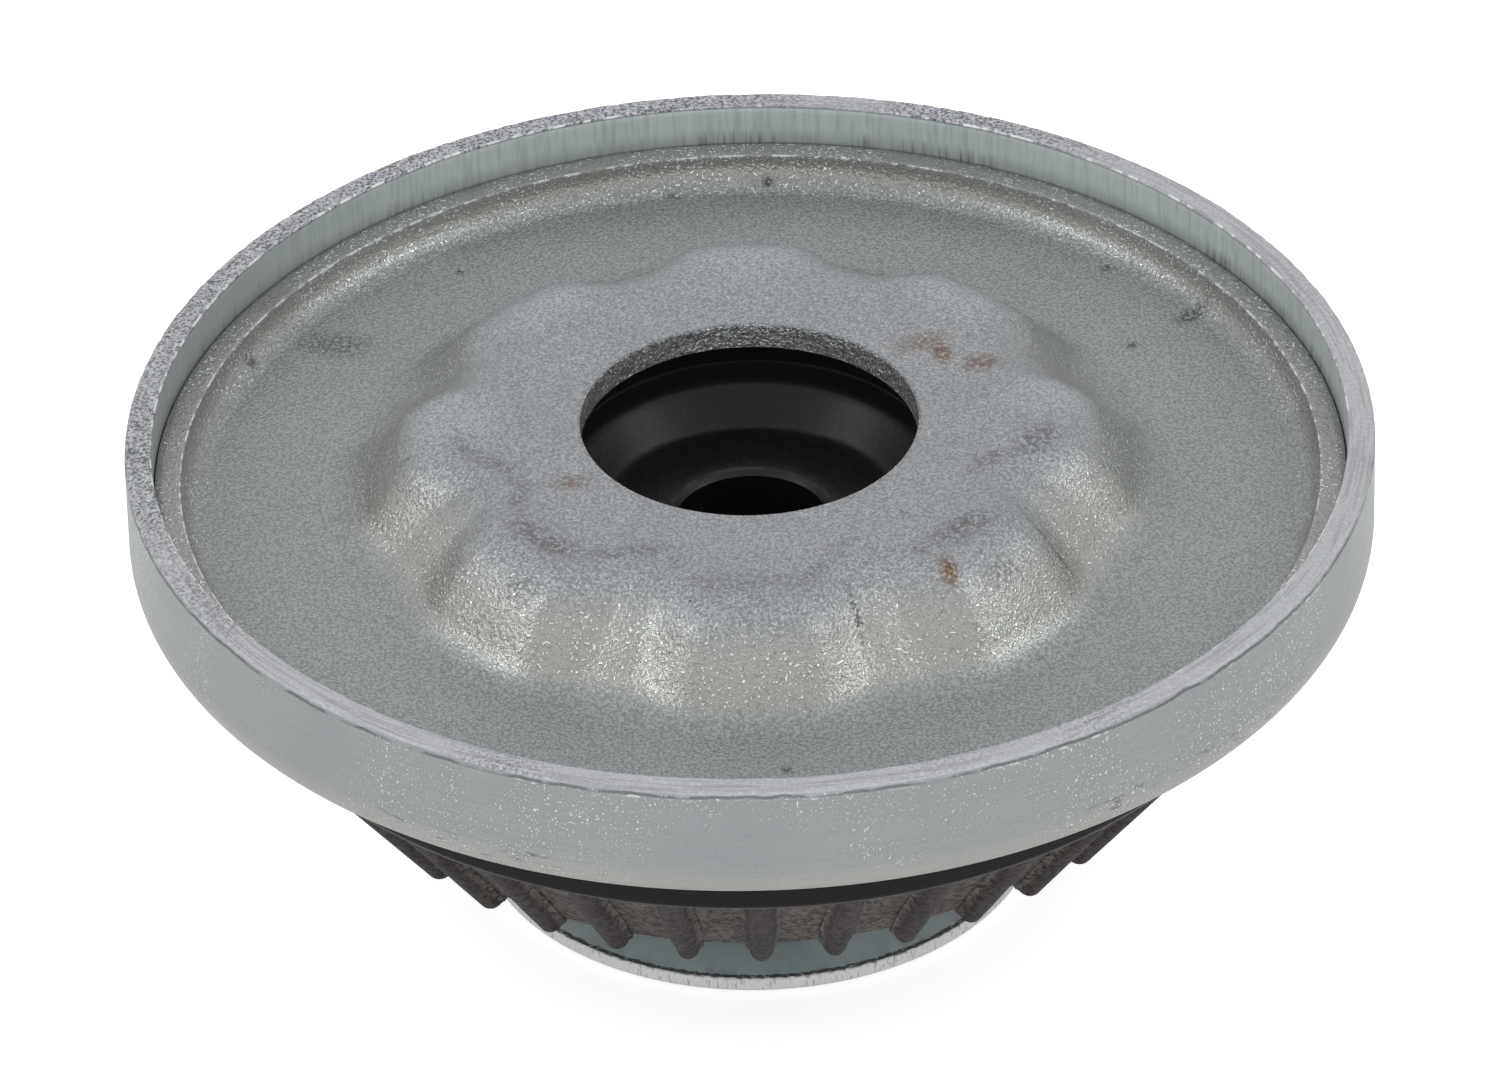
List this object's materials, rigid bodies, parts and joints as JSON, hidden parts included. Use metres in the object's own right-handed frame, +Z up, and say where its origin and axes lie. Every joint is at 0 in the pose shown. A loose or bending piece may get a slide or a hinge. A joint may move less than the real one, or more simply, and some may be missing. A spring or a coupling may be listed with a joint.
{
  "type": "strut mount",
  "caption": "Suspension strut top mount: a zinc-plated steel dish and fluted domed cover bonded to a black ribbed rubber body round a bored steel bush with a base disc.",
  "frame": {"origin": "centre of the base disc's underside, which the mount stands on", "axes": "+Z up along the axis of the rod bore, towards the open side of the dish; -Y is the side that faces the camera"},
  "size_m": [0.116, 0.116, 0.0465],
  "materials": {
    "zinc_dish": "zinc plated, smooth satin with fine sparkle",
    "zinc_cover": "zinc plated, grainy satin with stains on the dome",
    "black_rubber": "moulded, glossy band and dull brownish skirt",
    "black_bush": "black coating, satin",
    "zinc_disc": "zinc plated, smooth and bluish with a bright sheared edge"
  },
  "bodies": {
    "root": {"outer_dish": "zinc_dish", "fluted_cover": "zinc_cover", "rubber_body": "black_rubber", "core_bush": "black_bush", "base_disc": "zinc_disc"}
  },
  "joints": []
}
